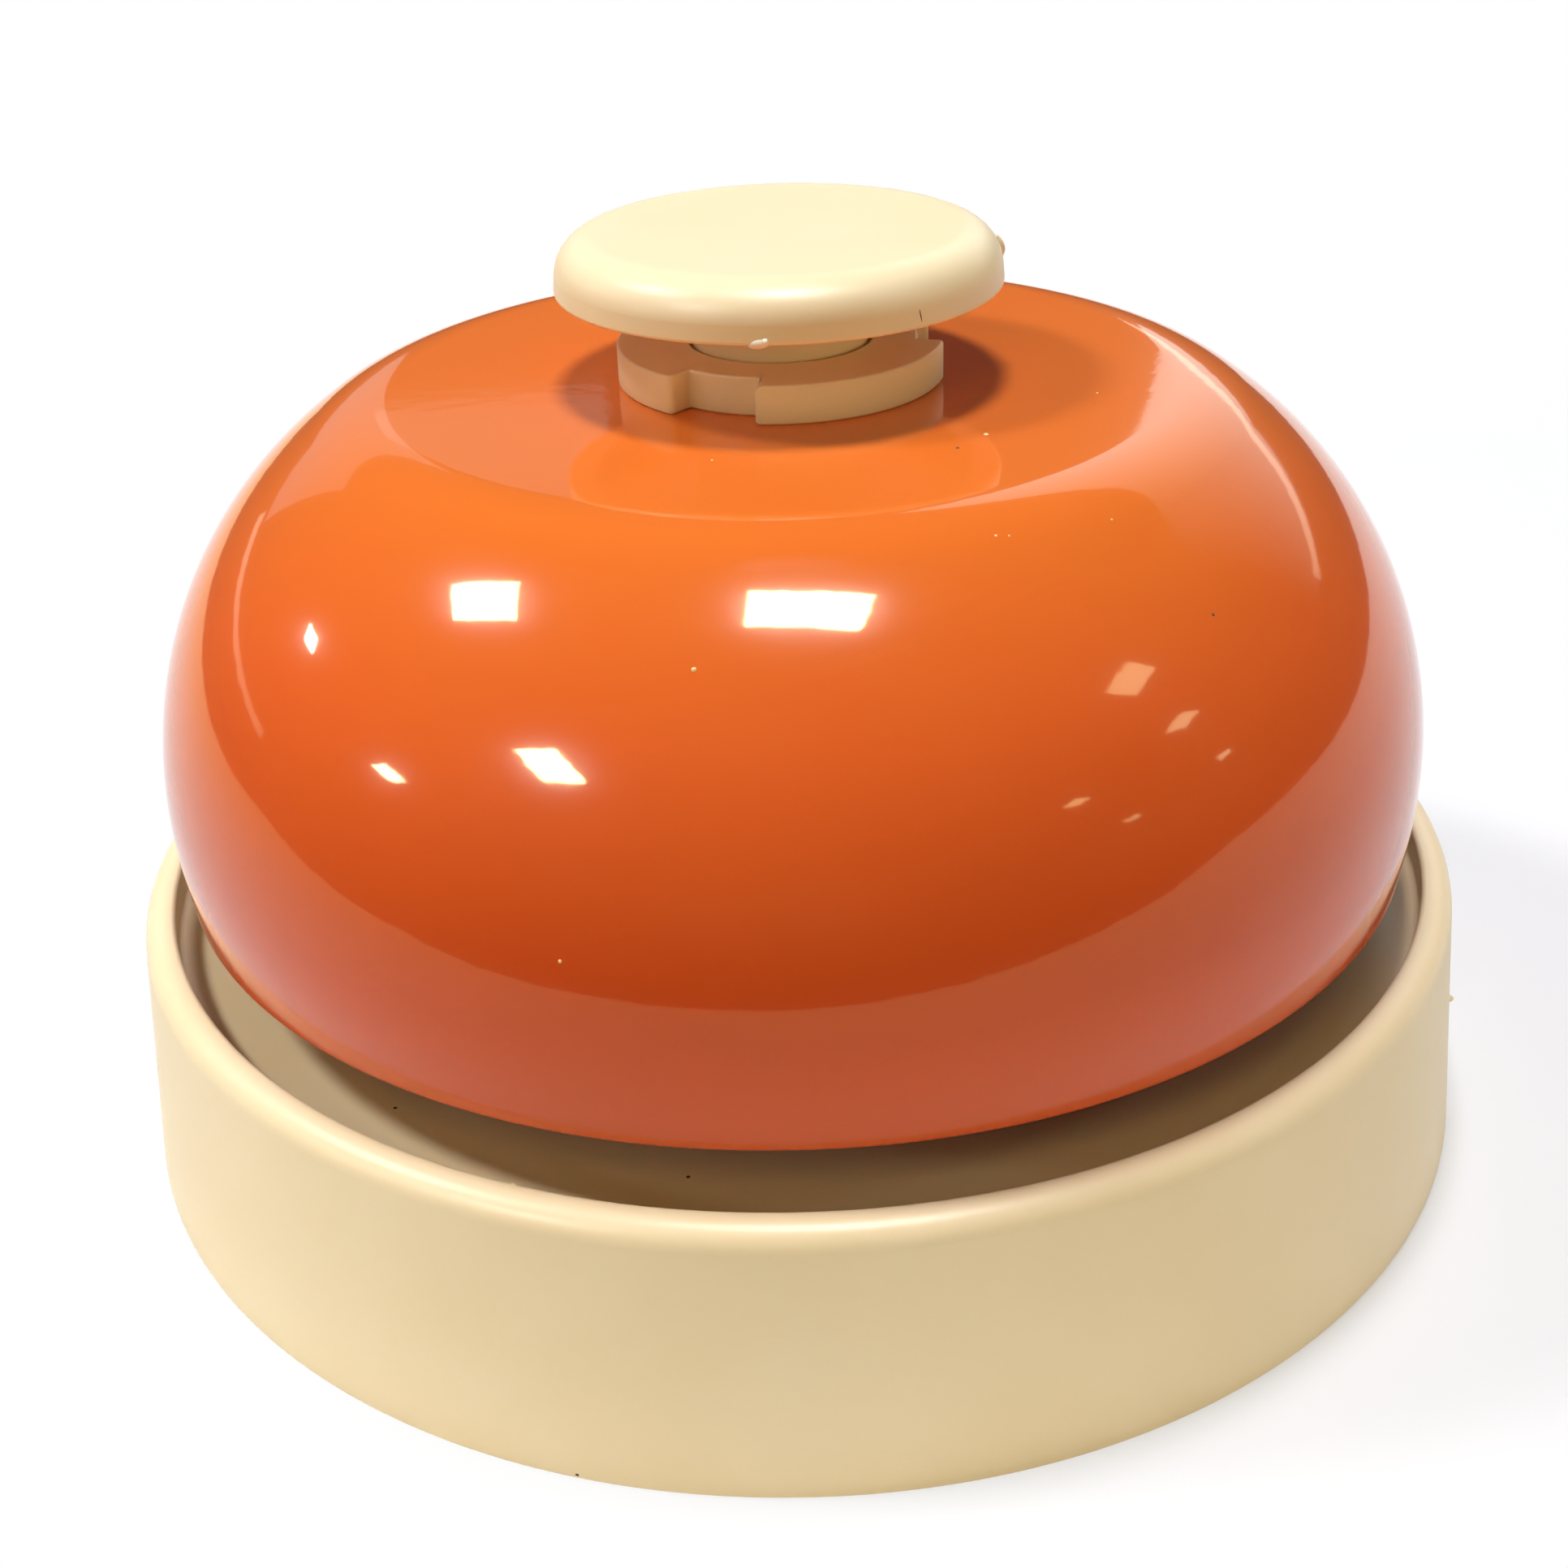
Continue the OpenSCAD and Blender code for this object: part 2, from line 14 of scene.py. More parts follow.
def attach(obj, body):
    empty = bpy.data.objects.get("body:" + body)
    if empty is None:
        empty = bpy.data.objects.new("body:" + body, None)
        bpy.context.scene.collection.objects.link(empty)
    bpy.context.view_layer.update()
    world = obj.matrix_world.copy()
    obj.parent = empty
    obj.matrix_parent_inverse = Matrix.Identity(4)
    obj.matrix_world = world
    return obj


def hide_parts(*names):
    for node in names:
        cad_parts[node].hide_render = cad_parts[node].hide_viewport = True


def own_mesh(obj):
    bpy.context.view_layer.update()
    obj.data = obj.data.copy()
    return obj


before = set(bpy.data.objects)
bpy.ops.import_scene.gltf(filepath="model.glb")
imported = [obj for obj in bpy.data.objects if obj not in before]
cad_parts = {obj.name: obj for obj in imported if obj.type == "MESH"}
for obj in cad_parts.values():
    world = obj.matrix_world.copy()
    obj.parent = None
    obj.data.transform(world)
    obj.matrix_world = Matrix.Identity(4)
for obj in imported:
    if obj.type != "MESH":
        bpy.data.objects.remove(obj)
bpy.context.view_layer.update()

MM = 0.001

# Sizes of the solids, repeated from the part's own source
FOOT_R, RIM_R, RIM_IN_R, BASE_H, RIM_ROUND = 37.5, 36.4, 34.7, 14.3, 1.3
SKIRT_WALL, DECK_Z, DECK_UNDER_Z = 1.8, 12.3, 10.5
DECK_HOLE_R, RING_R, RING_Z = 6.41, 8.61, 8.1
RIB_COUNT, RIB_T, RIB_IN_R, RIB_OUT_R = 6, 1.2, 7.41, 35.5
SCREW_COUNT, SCREW_TURN, SCREW_CIRCLE_R, COUNTERBORE_R = 3, 30, 8.41, 2.6
EDGE_R, EDGE_Z, CROWN_Z, DOME_T, DOME_HOLE_R, SKIRT_LEAN = 33.5, 16.5, 40.8, 0.8, 5.71, 7
SHOULDER, SHOULDER_R = (12.2387, 21.4), 21.7
BLEND, BLEND_R = (19.9568, 33.2), 7.6
BLEND_ANGLE = np.degrees(np.arctan2(BLEND[1] - SHOULDER[1], BLEND[0] - SHOULDER[0]))
COLLAR_IN_R, COLLAR_LEDGE_R, COLLAR_GROOVE_R, COLLAR_R = 4.7, 5.71, 6.31, 8.41
COLLAR_TOP_Z, COLLAR_ROOF_Z, COLLAR_LEDGE_Z = 42.8, 42.25, 41.45
NOTCH_R, NOTCH_COUNT, NOTCH_ANGLE, NOTCH_TURN = 7.01, 3, 31, -115
ENTRY_TURNS, ENTRY_ANGLE = (90, 270), 56
CAP_Z, CAP_TOP_Z, CAP_R, CAP_TOP_R, CAP_ROUND = 45.6, 48.4, 11.4, 11.15, 2.0
CAP_RECESS_R, CEILING_Z, STEM_R, STEM_IN_R, STEM_END_Z = 9.8, 46.8, 4.5, 3.45, 38.2
SOCKET_R, SOCKET_Z, ROD_R, ROD_TOP_Z = 2.1, 43.8, 1.5, 47.0
SPRING_R, WIRE_R, SPRING_LOW_Z, SPRING_HIGH_Z, SPRING_TURNS = 2.775, 0.25, 34.8, 46.5, 8

# How finely a round, a fillet, a ring segment and a rib are cut
ROUND_STEPS, FILLET_STEPS, SEGMENT_STEPS, RIB_STEPS = 320, 7, 40, 12
# The hair's breadth that keeps a flat flat beside a rounded edge, and how far ring and ribs reach into the deck
HOLD, SINK = 0.04, 0.3
# The angle past which an edge is shaded as a crease, and in metres, how near points fall together
CREASE, MERGE, TINY = 50, 1e-7, 1e-8


def linear(colour):
    """Linear RGBA of an sRGB hex colour: c / 12.92 when dark, ((c + 0.055) / 1.055) ** 2.4 otherwise."""
    c = np.array([int(colour[i:i + 2], 16) for i in (1, 3, 5)]) / 255
    return (*np.where(c <= 0.04045, c / 12.92, ((c + 0.055) / 1.055) ** 2.4), 1.0)


def unit(angles):
    """Unit vectors (cos a, sin a) of angles."""
    a = np.radians(angles)
    return np.stack([np.cos(a), np.sin(a)], axis=-1)


def arc(centre, radius, start, end, count):
    """Points of a circle: centre + radius * (cos t, sin t), with t even from start to end."""
    return np.asarray(centre) + radius * unit(np.linspace(start, end, count))


def rounded(corners, closed=True):
    """Outline of corners (r, z, fillet): each corner becomes the arc that touches both its sides.

    With half angle h at the corner, the arc starts fillet / tan(h) away from it, and its centre lies
    fillet / sin(h) along the bisector. A point just outside each end keeps the flats flat.
    An open outline keeps its first and last corner as they are.
    """
    points = np.array([corner[:2] for corner in corners], float)
    outline = []
    for k, (_, _, fillet) in enumerate(corners):
        here = points[k]
        if not closed and k in (0, len(corners) - 1):
            outline.append([here])
            continue
        to_last, to_next = points[k - 1] - here, points[(k + 1) % len(corners)] - here
        to_last, to_next = to_last / np.linalg.norm(to_last), to_next / np.linalg.norm(to_next)
        half = np.arccos(np.clip(to_last @ to_next, -1, 1)) / 2
        back = fillet / np.tan(half)
        bisector = (to_last + to_next) / np.linalg.norm(to_last + to_next)
        centre = here + bisector * fillet / np.sin(half)
        first, last = here + to_last * back - centre, here + to_next * back - centre
        start = np.degrees(np.arctan2(first[1], first[0]))
        sweep = (np.degrees(np.arctan2(last[1], last[0])) - start + 180) % 360 - 180
        outline.append([here + to_last * (back + HOLD)])
        outline.append(arc(centre, fillet, start, start + sweep, FILLET_STEPS))
        outline.append([here + to_next * (back + HOLD)])
    return np.vstack(outline)


def revolve(outline):
    """Grid of points (r cos a, r sin a, z): the outline carried round the Z axis."""
    way = unit(np.linspace(0, 360, ROUND_STEPS, endpoint=False))
    round_points = outline[:, :1, None] * way
    return np.dstack([round_points, np.broadcast_to(outline[:, 1:], round_points.shape[:2])])


def grid_faces(rows, columns, wrap_rows, wrap_columns):
    """Corner numbers of the quads of a grid, which may close on itself along either way."""
    number = np.arange(rows * columns).reshape(rows, columns)
    number = np.vstack([number, number[:1]]) if wrap_rows else number
    number = np.hstack([number, number[:, :1]]) if wrap_columns else number
    corners = number[:-1, :-1], number[:-1, 1:], number[1:, 1:], number[1:, :-1]
    return np.stack(corners, axis=-1).reshape(-1, 4)


def capped(tube):
    """A tube of section rings, closed at both ends by a column of its rings' middle points."""
    ends = [np.broadcast_to(tube[:, k].mean(axis=0), tube[:, k].shape)[:, None] for k in (0, -1)]
    return np.concatenate([ends[0], tube, ends[1]], axis=1)


def make_piece(name, grids, material, body, node=None):
    """One piece from grids of points, each given with whether its rows and its columns close.

    Points that fall together, as at a pole, are merged, and the faces are turned outwards.
    """
    points, faces, count = [], [], 0
    for grid, wrap_rows, wrap_columns in grids:
        faces.append(grid_faces(*grid.shape[:2], wrap_rows, wrap_columns) + count)
        points.append(grid.reshape(-1, 3) * MM)
        count += len(points[-1])
    mesh = bpy.data.meshes.new(name)
    mesh.from_pydata(np.vstack(points), [], np.vstack(faces))
    shell = bmesh.new()
    shell.from_mesh(mesh)
    bmesh.ops.remove_doubles(shell, verts=shell.verts, dist=MERGE)
    bmesh.ops.dissolve_degenerate(shell, edges=shell.edges, dist=TINY)
    bmesh.ops.recalc_face_normals(shell, faces=shell.faces)
    shell.to_mesh(mesh)
    shell.free()
    mesh.polygons.foreach_set("use_smooth", np.ones(len(mesh.polygons), bool))
    mesh.set_sharp_from_angle(angle=np.radians(CREASE))
    mesh.materials.append(material)
    piece = bpy.data.objects.new(name, mesh)
    bpy.context.scene.collection.objects.link(piece)
    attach(piece, body)
    if node:
        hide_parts(node)
    return piece


def add(tree, kind, links=None, **settings):
    """Adds a node, sets its properties and input values, and links sockets {input: (node, output)}."""
    made = tree.nodes.new(kind)
    for key, value in settings.items():
        if hasattr(made, key):
            setattr(made, key, value)
        else:
            made.inputs[key.replace("_", " ")].default_value = value
    for key, (source, output) in (links or {}).items():
        tree.links.new(source.outputs[output], made.inputs[key])
    return made


def new_material(name):
    """An empty node material with its output node."""
    material = bpy.data.materials.new(name)
    material.use_nodes = True
    tree = material.node_tree
    tree.nodes.clear()
    return material, tree, tree.nodes.new("ShaderNodeOutputMaterial")


def moulded_abs_cream():
    """Cream ABS, injection moulded: satin skin with soft highlights, its tone drifting in clouds of 11 mm.

    The skin's own grain is far finer than 0.4 mm, and is drawn that coarse so that it breaks the shine.
    """
    material, tree, output = new_material("moulded_abs_cream")
    place = add(tree, "ShaderNodeTexCoord")
    cloud = add(tree, "ShaderNodeTexNoise", {"Vector": (place, "Object")}, Scale=1 / (11.0 * MM), Detail=3.0)
    tone = add(tree, "ShaderNodeValToRGB", {"Fac": (cloud, "Fac")})
    dark, light = tone.color_ramp.elements
    dark.position, light.position = 0.3, 0.7
    dark.color, light.color = linear("#f0dbae"), linear("#f3e0b7")
    skin = add(tree, "ShaderNodeTexNoise", {"Vector": (place, "Object")}, Scale=1 / (0.4 * MM), Detail=2.0)
    rough = add(tree, "ShaderNodeMapRange", {"Value": (skin, "Fac")}, To_Min=0.34, To_Max=0.42)
    bump = add(tree, "ShaderNodeBump", {"Height": (skin, "Fac")}, Strength=0.03, Distance=0.02 * MM)
    shader = add(tree, "ShaderNodeBsdfPrincipled",
                 {"Base Color": (tone, "Color"), "Roughness": (rough, "Result"), "Normal": (bump, "Normal")},
                 Specular_IOR_Level=0.5)
    tree.links.new(shader.outputs["BSDF"], output.inputs["Surface"])
    return material


def stoved_enamel_orange_painted_shade():
    """Orange gloss enamel on steel, sprayed and stoved: a hard, warm-toned gloss under a faint haze.

    Its colour is painted with shade: with the height it goes from darker and redder on the skirt to lighter
    and yellower on the crown, standing in for the light that falls off down the dome. Its tone also drifts at
    random in clouds of 16 mm. Its peel has a spacing of 1.2 mm.
    """
    material, tree, output = new_material("stoved_enamel_orange_painted_shade")
    place = add(tree, "ShaderNodeTexCoord")
    cloud = add(tree, "ShaderNodeTexNoise", {"Vector": (place, "Object")}, Scale=1 / (16.0 * MM), Detail=3.0)
    height = add(tree, "ShaderNodeSeparateXYZ", {"Vector": (place, "Object")})
    # Painted shade: the colour is darker and redder low on the dome and lighter towards the crown, with the
    # height alone
    painted_shade_by_height = add(tree, "ShaderNodeMapRange", {"Value": (height, "Z")},
                  From_Min=EDGE_Z * MM, From_Max=CROWN_Z * MM)
    uneven = add(tree, "ShaderNodeMapRange", {"Value": (cloud, "Fac")}, To_Min=-0.1, To_Max=0.1)
    painted_shade_and_tone_clouds = add(tree, "ShaderNodeMath", {0: (painted_shade_by_height, "Result"), 1: (uneven, "Result")}, operation="ADD")
    tone = add(tree, "ShaderNodeValToRGB", {"Fac": (painted_shade_and_tone_clouds, "Value")})
    # Ramp stops of the painted shade: the shaded skirt at 0.25, a middle stop at 0.7, and the lit crown (full) at
    # 1
    painted_shade_skirt_stop, full = tone.color_ramp.elements
    painted_shade_skirt_stop.position, painted_shade_skirt_stop.color, full.color = 0.25, linear("#ce4817"), linear("#de7027")
    tone.color_ramp.elements.new(0.7).color = linear("#e16226")
    peel = add(tree, "ShaderNodeTexNoise", {"Vector": (place, "Object")}, Scale=1 / (1.2 * MM), Detail=2.0)
    bump = add(tree, "ShaderNodeBump", {"Height": (peel, "Fac")}, Strength=0.08, Distance=0.05 * MM)
    shader = add(tree, "ShaderNodeBsdfPrincipled",
                 {"Base Color": (tone, "Color"), "Normal": (bump, "Normal"), "Coat Normal": (bump, "Normal")},
                 Roughness=0.05, IOR=1.47, Specular_Tint=linear("#fff5a8"),
                 Coat_Weight=0.25, Coat_Roughness=0.18, Coat_IOR=1.45)
    tree.links.new(shader.outputs["BSDF"], output.inputs["Surface"])
    return material


def worked_steel(name, colour, roughness):
    """Bare or plated steel, drawn or turned: a soft metal shine with a fine mottle, 1.5 to the millimetre."""
    material, tree, output = new_material(name)
    place = add(tree, "ShaderNodeTexCoord")
    mottle = add(tree, "ShaderNodeTexNoise", {"Vector": (place, "Object")}, Scale=1.5 / MM, Detail=4.0)
    rough = add(tree, "ShaderNodeMapRange", {"Value": (mottle, "Fac")},
                To_Min=roughness - 0.08, To_Max=roughness + 0.08)
    shader = add(tree, "ShaderNodeBsdfPrincipled", {"Roughness": (rough, "Result")},
                 Base_Color=linear(colour), Metallic=1.0)
    tree.links.new(shader.outputs["BSDF"], output.inputs["Surface"])
    return material


def plain_skin(name, colour, roughness, grains):
    """A plain skin of even colour, with so many grains to the millimetre, which break its highlight."""
    material, tree, output = new_material(name)
    place = add(tree, "ShaderNodeTexCoord")
    skin = add(tree, "ShaderNodeTexNoise", {"Vector": (place, "Object")}, Scale=grains / MM, Detail=3.0)
    bump = add(tree, "ShaderNodeBump", {"Height": (skin, "Fac")}, Strength=0.2, Distance=0.05 * MM)
    shader = add(tree, "ShaderNodeBsdfPrincipled", {"Normal": (bump, "Normal")},
                 Base_Color=linear(colour), Roughness=roughness)
    tree.links.new(shader.outputs["BSDF"], output.inputs["Surface"])
    return material


ABS = moulded_abs_cream()
ENAMEL = stoved_enamel_orange_painted_shade()
STEEL = worked_steel("turned_steel_bright", "#c6c8cb", 0.28)
WIRE = worked_steel("drawn_spring_wire", "#8f9297", 0.35)
ZINC = worked_steel("zinc_plated_steel", "#a9aaa8", 0.4)
NYLON = plain_skin("moulded_nylon_natural", "#dcd8cb", 0.45, 1.2)
RUBBER = plain_skin("cut_rubber_sheet", "#2f2c29", 0.75, 0.9)
NIB = plain_skin("enamel_dust_nib", "#f3cf8e", 0.2, 4.0)
DIRT = plain_skin("dried_dirt", "#5a3d28", 0.7, 6.0)
WHITENED = plain_skin("stress_whitened_abs", "#f8f1df", 0.45, 3.0)


def base_wall_r(z):
    """Radius of the base's leaning wall at height z: straight, from the foot to the start of the rim's round."""
    return FOOT_R - (FOOT_R - RIM_R) * z / (BASE_H - RIM_ROUND)


def make_base():
    """Base shell: one outline carried round, with ring segments and ribs under the deck.

    A segment ends where its section's radius r meets the counterbore's circle, at the angle whose cosine is
    (c^2 + r^2 - b^2) / (2 c r) off the screw, with c the screws' circle and b the counterbore's radius.
    """
    outline = rounded([
        (FOOT_R - SKIRT_WALL, 0, 0.3), (FOOT_R, 0, 0.22), (base_wall_r(BASE_H), BASE_H, RIM_ROUND - HOLD),
        (RIM_IN_R, BASE_H, 0.25), (RIM_IN_R, DECK_Z, 0.35), (DECK_HOLE_R, DECK_Z, 0.1),
        (DECK_HOLE_R, DECK_UNDER_Z, 0.1), (base_wall_r(DECK_UNDER_Z) - SKIRT_WALL, DECK_UNDER_Z, 0.6)])
    grids = [(revolve(outline), True, True)]
    section = rounded([(DECK_HOLE_R, RING_Z, 0.15), (RING_R, RING_Z, 0.25),
                       (RING_R, DECK_Z - SINK, 0.05), (DECK_HOLE_R, DECK_Z - SINK, 0.05)])
    r = section[:, 0]
    reach = (SCREW_CIRCLE_R ** 2 + r ** 2 - COUNTERBORE_R ** 2) / (2 * SCREW_CIRCLE_R * r)
    clear = np.degrees(np.arccos(reach))[:, None]
    share = np.linspace(0, 1, SEGMENT_STEPS)
    for k in range(SCREW_COUNT):
        first = SCREW_TURN + k * 360 / SCREW_COUNT
        way = unit(first + clear + (360 / SCREW_COUNT - 2 * clear) * share)
        segment = np.dstack([r[:, None, None] * way, np.broadcast_to(section[:, 1:], way.shape[:2])])
        grids.append((capped(segment), True, False))
    across = rounded([(-RIB_T / 2, RING_Z + HOLD, 0.3), (RIB_T / 2, RING_Z + HOLD, 0.3),
                      (RIB_T / 2, DECK_Z - SINK, 0.05), (-RIB_T / 2, DECK_Z - SINK, 0.05)])
    along = np.linspace(RIB_IN_R, RIB_OUT_R, RIB_STEPS)
    side, height = across[:, :1], np.broadcast_to(across[:, 1:], (len(across), len(along)))
    for k in range(RIB_COUNT):
        c, s = unit(k * 360 / RIB_COUNT)
        rib = np.dstack([along * c - side * s, along * s + side * c, height])
        grids.append((capped(rib), True, False))
    return make_piece("base_shell_moulded", grids, ABS, "bell_body", "base_shell")


def make_dome():
    """Dome skin: leaning skirt, shoulder arc, blend and flat crown, outside and inside, joined by a cut edge.

    The skirt is the straight line that touches the shoulder's circle SKIRT_LEAN below its widest point.
    """
    flat = np.linspace(BLEND[0], DOME_HOLE_R, 12)[1:]

    def skin(inset, steps):
        return np.vstack([arc(SHOULDER, SHOULDER_R - inset, -SKIRT_LEAN, BLEND_ANGLE, 2 * steps),
                          arc(BLEND, BLEND_R - inset, BLEND_ANGLE, 90, steps)[1:],
                          np.stack([flat, np.full(len(flat), CROWN_Z - inset)], axis=1)])

    outside, inside = skin(0, 32), skin(DOME_T, 20)
    edge_in_r = EDGE_R - DOME_T / np.cos(np.radians(SKIRT_LEAN))
    edge = rounded([(*outside[0], 0), (EDGE_R, EDGE_Z, 0.2), (edge_in_r, EDGE_Z, 0.15), (*inside[0], 0)],
                   closed=False)
    outline = np.vstack([outside[::-1], edge[1:-1], inside])
    return make_piece("bell_dome_enamelled", [(revolve(outline), True, True)], ENAMEL,
                      "bell_body", "bell_dome")


def collar_plan(hollow, corner):
    """Half of one third of the collar's outline in plan, from a notch's middle to a tab's, with its normals.

    A notch arc, a hollow corner, a radial wall, a round corner and the tab's arc, cut finer over its first
    degrees. Each corner is an arc whose centre stands its own radius off the wall, and that far outside the
    notch or inside the tab.
    """
    wall, fine = NOTCH_ANGLE / 2, 6
    low = wall - np.degrees(np.arcsin(hollow / (NOTCH_R + hollow)))
    high = wall + np.degrees(np.arcsin(corner / (COLLAR_R - corner)))
    notch = np.linspace(0, low, 8)
    turn_in, turn_out = np.linspace(low, wall - 90, 6), np.linspace(wall - 90, high, 8)
    hollow_points = (NOTCH_R + hollow) * unit(low) - hollow * unit(turn_in)
    corner_points = (COLLAR_R - corner) * unit(high) + corner * unit(turn_out)
    share = np.linspace(0, 1, 7)[1:-1, None]
    wall_points = hollow_points[-1] * (1 - share) + corner_points[0] * share
    tab = np.concatenate([np.linspace(high, high + fine, 10)[1:],
                          np.linspace(high + fine, 180 / NOTCH_COUNT, 16)[1:]])
    points = np.vstack([NOTCH_R * unit(notch), hollow_points[1:], wall_points, corner_points,
                        COLLAR_R * unit(tab)])
    normals = np.vstack([unit(notch), unit(turn_in[1:]), np.repeat([unit(wall - 90)], len(share), axis=0),
                         unit(turn_out), unit(tab)])
    return points, normals


def make_collar():
    """Collar: sections from the crown up over the top to the hole, the groove and the ledge, set along the plan.

    The top edge is an arc of radius edge that goes in along the plan's normal. Where each tab begins, its
    top falls off in an arc of radius nose with the distance from the tab's wall, and the fall grows from
    nothing over a width of ease behind the notch.
    """
    edge, nose, hole_edge, ease = 0.14, 0.55, 0.15, 0.25
    points, normals = collar_plan(0.12, 0.3)
    mirror = np.array([1, -1])
    points = np.vstack([points[:0:-1] * mirror, points[:-1]])
    normals = np.vstack([normals[:0:-1] * mirror, normals[:-1]])
    out = unit(np.degrees(np.arctan2(points[:, 1], points[:, 0])))

    def level(plan, z):
        return np.column_stack([plan, np.full(len(plan), z)])[None]

    fillet = unit(np.linspace(0, 90, FILLET_STEPS))
    top_out, top_in = points - edge * normals, (COLLAR_IN_R + hole_edge) * out
    rows = [level(top_out, CROWN_Z), level(points, CROWN_Z + edge),
            level(points, COLLAR_TOP_Z - nose - HOLD), level(points, COLLAR_TOP_Z - edge - HOLD)]
    rows += [level(points - edge * (1 - c) * normals, COLLAR_TOP_Z - edge * (1 - s)) for c, s in fillet]
    rows += [level(top_out * (1 - f) + top_in * f, COLLAR_TOP_Z)
             for f in (0.02, 0.1, 0.2, 0.3, 0.4, 0.5, 0.65, 0.85, 0.98)]
    rows += [level((COLLAR_IN_R + hole_edge * (1 - s)) * out, COLLAR_TOP_Z - hole_edge * (1 - c))
             for c, s in fillet]
    rows += [level(COLLAR_IN_R * out, COLLAR_ROOF_Z), level(COLLAR_GROOVE_R * out, COLLAR_ROOF_Z),
             level(COLLAR_GROOVE_R * out, COLLAR_LEDGE_Z)]
    third = np.vstack(rows)
    x, y, z = np.moveaxis(third, -1, 0)
    r, way = np.hypot(x, y), np.arctan2(y, x)
    off_wall = r * np.sin(way - np.radians(NOTCH_ANGLE / 2))
    fall = nose - np.sqrt(np.clip(nose ** 2 - np.clip(nose - off_wall, 0, None) ** 2, 0, None))
    fall *= (off_wall > -HOLD) * np.clip((r - NOTCH_R) / ease, 0, 1)
    z = np.where(r > NOTCH_R, np.minimum(z, COLLAR_TOP_Z - fall), z)
    turns = unit(NOTCH_TURN + np.arange(NOTCH_COUNT) * 360 / NOTCH_COUNT)
    grid = np.concatenate([np.dstack([x * c - y * s, x * s + y * c, z]) for c, s in turns], axis=1)
    turn = np.degrees(np.arctan2(grid[-1, :, 1], grid[-1, :, 0]))
    entry = [np.abs((turn - middle + 180) % 360 - 180) < ENTRY_ANGLE / 2 for middle in ENTRY_TURNS]
    ledge_r = np.where(entry[0] | entry[1], COLLAR_GROOVE_R - HOLD, COLLAR_LEDGE_R)[:, None]
    ledge = [level(ledge_r * unit(turn), height) for height in (COLLAR_LEDGE_Z, CROWN_Z)]
    return make_piece("retaining_collar_moulded", [(np.vstack([grid, *ledge]), True, True)], ABS,
                      "bell_body", "retaining_collar")


def make_button():
    """Button: head with a big rounded edge, recess, hollow stem and rod socket, one outline from axis to axis."""
    outline = rounded([
        (0, CAP_TOP_Z, 0), (CAP_TOP_R, CAP_TOP_Z, CAP_ROUND), (CAP_R, CAP_Z, 0.18),
        (CAP_RECESS_R, CAP_Z, 0.2), (CAP_RECESS_R, CEILING_Z, 0.4), (STEM_R, CEILING_Z, 0.3),
        (STEM_R, STEM_END_Z, 0.2), (STEM_IN_R, STEM_END_Z, 0.2), (STEM_IN_R, CEILING_Z, 0.2),
        (SOCKET_R, CEILING_Z, 0.2), (SOCKET_R, SOCKET_Z, 0.15), (ROD_R, SOCKET_Z, 0.1),
        (ROD_R, ROD_TOP_Z, 0.1), (0, ROD_TOP_Z, 0)], closed=False)
    return make_piece("button_cap_moulded", [(revolve(outline), False, True)], ABS,
                      "button", "button_cap")


def make_spring():
    """Return spring: a round wire on a helix, (R cos a, R sin a, z rising evenly with a), with level ends.

    The wire's section is a circle in the plane of the outward direction and the wire's own upward one.
    """
    steps, sides = 48 * SPRING_TURNS, 14
    turn = np.linspace(0, 360 * SPRING_TURNS, steps + 1)
    level = np.zeros(len(turn))
    out, along = np.column_stack([unit(turn), level]), np.column_stack([unit(turn + 90), level])
    middle = SPRING_R * out
    middle[:, 2] = np.linspace(SPRING_LOW_Z, SPRING_HIGH_Z, len(turn))
    middle = np.vstack([middle[0] - 2 * WIRE_R * along[0], middle, middle[-1] + 2 * WIRE_R * along[-1]])
    out = np.vstack([out[:1], out, out[-1:]])
    way = np.gradient(middle, axis=0)
    up = np.cross(out, way / np.linalg.norm(way, axis=1)[:, None])
    c, s = unit(np.linspace(0, 360, sides, endpoint=False)).T
    tube = middle + WIRE_R * (c[:, None, None] * out + s[:, None, None] * up)
    spring = make_piece("return_spring_wound", [(capped(tube), True, False)], WIRE,
                        "bell_body", "return_spring")
    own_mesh(spring)
    return spring


def lump(place, tilt, size, spin=0):
    """Lens-shaped lump on a skin: place + a u cos v * across + b u sin v * upwards + h (1 - u^2) * outwards.

    place is (turn, radius, height), tilt the outward way's angle above the level, and size (a, b, h).
    Its edge is sunk a little, and a last row closes it underneath. Only the columns of its grid close.
    """
    turn, r, z = place
    a, b, h = size
    (ct, st), (cn, sn) = unit(turn), unit(tilt)
    outwards = np.array([cn * ct, cn * st, sn])
    across = np.array([-st, ct, 0.0])
    upwards = np.cross(outwards, across)
    c, s = unit(spin)
    across, upwards = c * across + s * upwards, c * upwards - s * across
    sunk, sides = 0.02, 16
    u = np.array([0, 0.3, 0.55, 0.75, 0.9, 1, 0])[:, None, None]
    rise = h * (1 - u ** 2) - sunk * u
    rise[-1] = -2 * sunk
    way = unit(np.linspace(0, 360, sides, endpoint=False))
    points = (np.array([r * ct, r * st, z]) + u * a * way[:, :1] * across + u * b * way[:, 1:] * upwards
              + rise * outwards)
    return points, False, True


def dome_lumps(marks):
    """Lumps on the dome's skin from (turn, radius, half width): height and tilt follow from the radius."""
    join_r = BLEND[0] + BLEND_R * np.cos(np.radians(BLEND_ANGLE))
    lumps = []
    for turn, r, size in marks:
        middle, reach = (BLEND, BLEND_R) if r < join_r else (SHOULDER, SHOULDER_R)
        tilt = np.degrees(np.arccos(np.clip((r - middle[0]) / reach, 0, 1)))
        z = middle[1] + reach * np.sin(np.radians(tilt))
        lumps.append(lump((turn, r, z), tilt, (size, size, size / 2)))
    return lumps


